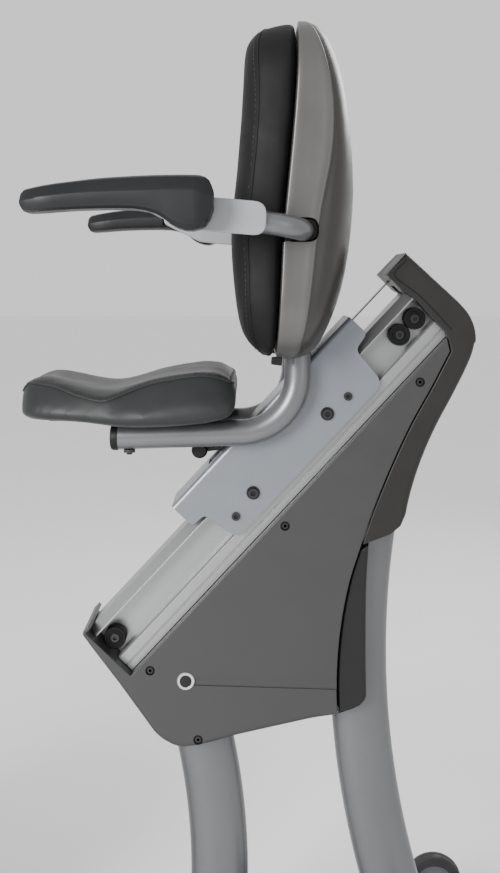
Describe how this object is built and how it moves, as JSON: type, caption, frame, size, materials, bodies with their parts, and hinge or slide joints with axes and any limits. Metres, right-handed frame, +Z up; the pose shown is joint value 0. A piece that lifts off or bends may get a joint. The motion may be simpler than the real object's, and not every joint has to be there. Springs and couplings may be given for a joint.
{
  "type": "exercise bike",
  "caption": "Semi-recumbent exercise bike: padded seat, backrest and armrests on a carriage that slides along an inclined rail, with pedals, flywheel and console in front.",
  "frame": {"origin": "on the floor, under the middle of the bike's length and width", "axes": "+Z up, -X the way the rider faces, -Y the rider's left"},
  "size_m": [1.35, 0.622, 1.484],
  "materials": {
    "frame_paint": "satin silver-grey paint",
    "rail_metal": "brushed and clear anodised",
    "carriage_paint": "light blue-grey satin paint",
    "side_plastic": "fine moulded grain",
    "dark_plastic": "warm dark grey, fine moulded grain",
    "trim_plastic": "satin silver paint",
    "upholstery": "dark charcoal vinyl, satin",
    "black_rubber": "matt black",
    "wheel_rubber": "black tread on a grey hub",
    "steel": "zinc plated",
    "flywheel_iron": "machined grey iron",
    "console_plastic": "black housing with a dark screen"
  },
  "bodies": {
    "frame": {"seat_rail": "rail_metal", "lower_bumper": "black_rubber", "upper_bumper_inner": "black_rubber", "upper_bumper_outer": "black_rubber", "reel_bracket": "steel", "spring_tape": "steel", "rail_saddle_front": "steel", "rail_saddle_rear": "steel", "front_leg": "frame_paint", "rear_leg": "frame_paint", "base_beam": "frame_paint", "front_stabiliser": "frame_paint", "rear_stabiliser": "frame_paint", "wheel_bracket_left": "steel", "wheel_bracket_right": "steel", "side_cover_left": "side_plastic", "side_cover_right": "side_plastic", "top_cover": "dark_plastic", "drive_frame": "frame_paint", "magnet_brake": "steel", "drive_belt": "black_rubber", "drive_housing_left": "side_plastic", "drive_housing_right": "side_plastic", "mast": "frame_paint", "console": "console_plastic", "handlebar": "frame_paint"},
    "carriage": {"carriage_frame": "carriage_paint", "seat_tube_left": "frame_paint", "seat_tube_right": "frame_paint", "seat_cross_plate": "steel", "seat_pan": "side_plastic", "seat_cushion": "upholstery", "back_cushion": "upholstery", "back_trim": "trim_plastic", "back_cover": "dark_plastic", "back_plate": "steel", "arm_bar": "frame_paint", "arm_pad_left": "black_rubber", "arm_pad_right": "black_rubber"},
    "release": {"release_bar": "black_rubber"},
    "shoe": {"brake_shoe": "black_rubber"},
    "reel": {"spring_reel": "steel"},
    "flywheel": {"flywheel": "flywheel_iron"},
    "crank": {"crank_axle": "steel", "drive_pulley": "side_plastic", "crank_arm_left": "steel", "crank_arm_right": "steel"},
    "idler": {"idler_pulley": "side_plastic"},
    "pedal_l": {"pedal_left": "black_rubber"},
    "pedal_r": {"pedal_right": "black_rubber"},
    "roller_front_left": {"carriage_roller_front_left": "black_rubber"},
    "roller_front_right": {"carriage_roller_front_right": "black_rubber"},
    "roller_rear_left": {"carriage_roller_rear_left": "black_rubber"},
    "roller_rear_right": {"carriage_roller_rear_right": "black_rubber"},
    "wheel_left": {"transport_wheel_left": "wheel_rubber"},
    "wheel_right": {"transport_wheel_right": "wheel_rubber"},
    "foot_front_left": {"levelling_foot_front_left": "black_rubber"},
    "foot_front_right": {"levelling_foot_front_right": "black_rubber"},
    "foot_rear_left": {"levelling_foot_rear_left": "black_rubber"},
    "foot_rear_right": {"levelling_foot_rear_right": "black_rubber"}
  },
  "joints": [
    {"name": "seat_slide", "type": "slide", "parent": "frame", "child": "carriage", "axis": [0.6845, 0, 0.729], "range_m": [-0.176, 0.075]},
    {"name": "release_pull", "type": "hinge", "parent": "carriage", "child": "release", "pos_m": [0.28941, 0, 0.87162], "axis": [0, 1, 0], "range_deg": [0, 16], "stiffness_Nm_per_rad": 2, "springref_deg": -8.59},
    {"name": "shoe_lift", "type": "slide", "parent": "carriage", "child": "shoe", "axis": [-0.729, 0, 0.6845], "range_m": [0, 0.0032]},
    {"name": "reel_turn", "type": "hinge", "parent": "frame", "child": "reel", "pos_m": [0.53778, 0, 1.11989], "axis": [0, 1, 0], "range_deg": [-590, 253]},
    {"name": "flywheel_spin", "type": "hinge", "parent": "frame", "child": "flywheel", "pos_m": [-0.505, 0, 0.33], "axis": [0, 1, 0], "continuous": true},
    {"name": "crank_spin", "type": "hinge", "parent": "frame", "child": "crank", "pos_m": [-0.315, 0, 0.39], "axis": [0, 1, 0], "continuous": true},
    {"name": "idler_spin", "type": "hinge", "parent": "frame", "child": "idler", "pos_m": [-0.42565, 0.023, 0.28516], "axis": [0, 1, 0], "continuous": true},
    {"name": "pedal_left_spin", "type": "hinge", "parent": "crank", "child": "pedal_l", "pos_m": [-0.315, -0.14, 0.56], "axis": [0, 1, 0], "continuous": true},
    {"name": "pedal_right_spin", "type": "hinge", "parent": "crank", "child": "pedal_r", "pos_m": [-0.315, 0.14, 0.22], "axis": [0, 1, 0], "continuous": true},
    {"name": "roller_front_left_roll", "type": "hinge", "parent": "carriage", "child": "roller_front_left", "pos_m": [0.30563, -0.028, 0.80563], "axis": [0, 1, 0], "range_deg": [-467, 202]},
    {"name": "roller_front_right_roll", "type": "hinge", "parent": "carriage", "child": "roller_front_right", "pos_m": [0.30563, 0.028, 0.80563], "axis": [0, 1, 0], "range_deg": [-467, 202]},
    {"name": "roller_rear_left_roll", "type": "hinge", "parent": "carriage", "child": "roller_rear_left", "pos_m": [0.41448, -0.028, 0.92153], "axis": [0, 1, 0], "range_deg": [-467, 202]},
    {"name": "roller_rear_right_roll", "type": "hinge", "parent": "carriage", "child": "roller_rear_right", "pos_m": [0.41448, 0.028, 0.92153], "axis": [0, 1, 0], "range_deg": [-467, 202]},
    {"name": "wheel_left_roll", "type": "hinge", "parent": "frame", "child": "wheel_left", "pos_m": [0.625, -0.27, 0.053], "axis": [0, 1, 0], "continuous": true},
    {"name": "wheel_right_roll", "type": "hinge", "parent": "frame", "child": "wheel_right", "pos_m": [0.625, 0.27, 0.053], "axis": [0, 1, 0], "continuous": true},
    {"name": "foot_front_left_turn", "type": "hinge", "parent": "frame", "child": "foot_front_left", "pos_m": [-0.641, -0.25, 0.02], "axis": [0, 0, 1], "continuous": true},
    {"name": "foot_front_right_turn", "type": "hinge", "parent": "frame", "child": "foot_front_right", "pos_m": [-0.641, 0.25, 0.02], "axis": [0, 0, 1], "continuous": true},
    {"name": "foot_rear_left_turn", "type": "hinge", "parent": "frame", "child": "foot_rear_left", "pos_m": [0.571, -0.215, 0.02], "axis": [0, 0, 1], "continuous": true},
    {"name": "foot_rear_right_turn", "type": "hinge", "parent": "frame", "child": "foot_rear_right", "pos_m": [0.571, 0.215, 0.02], "axis": [0, 0, 1], "continuous": true}
  ],
  "couplings": [
    {"joint": "shoe_lift", "follows": "release_pull", "m_per_rad": 0.0111},
    {"joint": "reel_turn", "follows": "seat_slide", "rad_per_m": 58.48},
    {"joint": "crank_spin", "follows": "flywheel_spin", "ratio": 0.17391},
    {"joint": "idler_spin", "follows": "flywheel_spin", "ratio": -0.94118},
    {"joint": "roller_front_left_roll", "follows": "seat_slide", "rad_per_m": 46.296},
    {"joint": "roller_front_right_roll", "follows": "seat_slide", "rad_per_m": 46.296},
    {"joint": "roller_rear_left_roll", "follows": "seat_slide", "rad_per_m": 46.296},
    {"joint": "roller_rear_right_roll", "follows": "seat_slide", "rad_per_m": 46.296}
  ]
}
